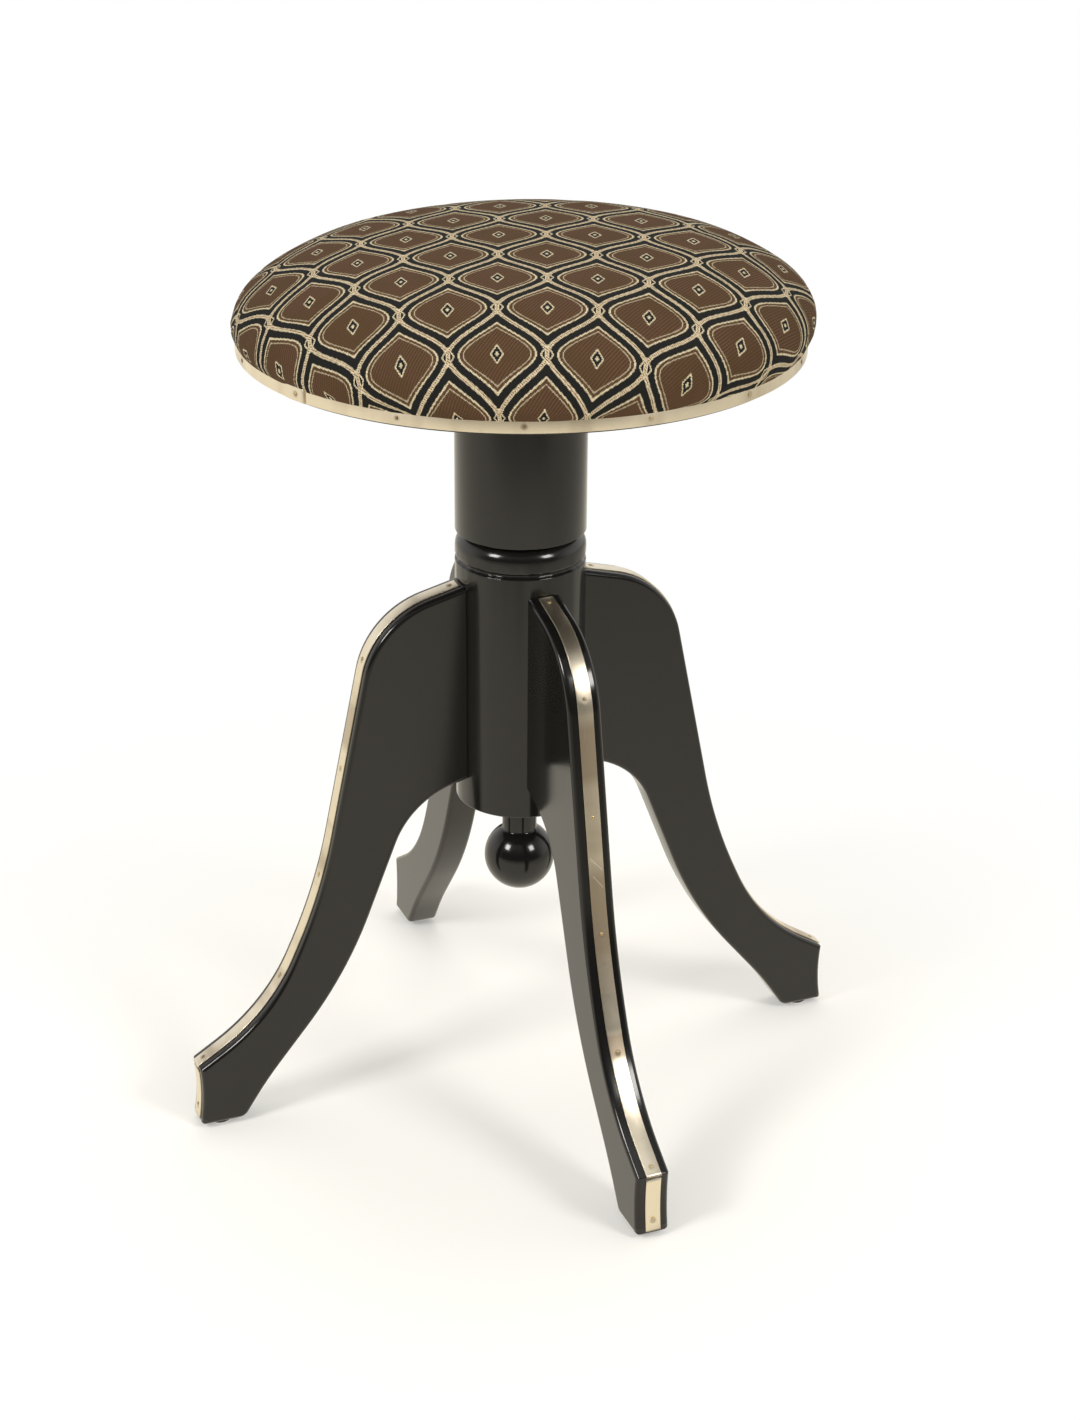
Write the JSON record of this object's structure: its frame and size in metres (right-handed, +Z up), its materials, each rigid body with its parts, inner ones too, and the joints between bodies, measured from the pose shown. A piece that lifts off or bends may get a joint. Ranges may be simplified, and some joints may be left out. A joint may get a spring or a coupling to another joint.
{
  "type": "piano stool",
  "caption": "Round upholstered screw stool: a crowned fabric seat rises on a steel spindle over a turned black column with curved board legs edged in nickel strip and a ball finial.",
  "frame": {"origin": "on the floor, under the column's axis", "axes": "+Z up along the column and spindle; +X toward the right leg and -Y toward the front leg"},
  "size_m": [0.4348, 0.4348, 0.5489],
  "materials": {
    "black_lacquer": "black lacquer on hardwood, glossy, with fine wear",
    "seat_board": "dark stained board",
    "dowel_wood": "plain beech",
    "nickel": "warm nickel silver strip, brushed lengthways",
    "pin_brass": "small domed heads, tarnished",
    "steel": "turned steel, lightly oiled",
    "iron": "cast iron, oiled",
    "glide_steel": "pressed steel, dulled by the floor",
    "padding": "foam and wadding",
    "seat_fabric": "woven jacquard, dark ground with a cream trellis"
  },
  "bodies": {
    "base": {"column": "black_lacquer", "ball_finial": "black_lacquer", "leg_dowels": "dowel_wood", "glides": "glide_steel", "spindle_nut": "iron", "nut_screws": "steel", "leg_right": "black_lacquer", "edge_strip_right": "nickel", "toe_strip_right": "nickel", "strip_pins_right": "pin_brass", "leg_back": "black_lacquer", "edge_strip_back": "nickel", "toe_strip_back": "nickel", "strip_pins_back": "pin_brass", "leg_left": "black_lacquer", "edge_strip_left": "nickel", "toe_strip_left": "nickel", "strip_pins_left": "pin_brass", "leg_front": "black_lacquer", "edge_strip_front": "nickel", "toe_strip_front": "nickel", "strip_pins_front": "pin_brass"},
    "lift": {"stop_washer": "steel"},
    "seat": {"spindle": "steel", "stop_pin": "steel", "spindle_flange": "steel", "flange_screws": "steel", "drum": "black_lacquer", "drum_screws": "steel", "seat_board": "seat_board", "foam_pad": "padding", "seat_cover": "seat_fabric", "rim_band": "nickel", "rim_band_pins": "pin_brass"}
  },
  "joints": [
    {"name": "seat_rise", "type": "slide", "parent": "base", "child": "lift", "axis": [0, 0, 1], "range_m": [0, 0.10205]},
    {"name": "seat_turn", "type": "hinge", "parent": "lift", "child": "seat", "pos_m": [0, 0, 0.4845], "axis": [0, 0, 1], "range_deg": [0, 6120]}
  ],
  "couplings": [
    {"joint": "seat_rise", "follows": "seat_turn", "m_per_rad": 0.00095493}
  ]
}
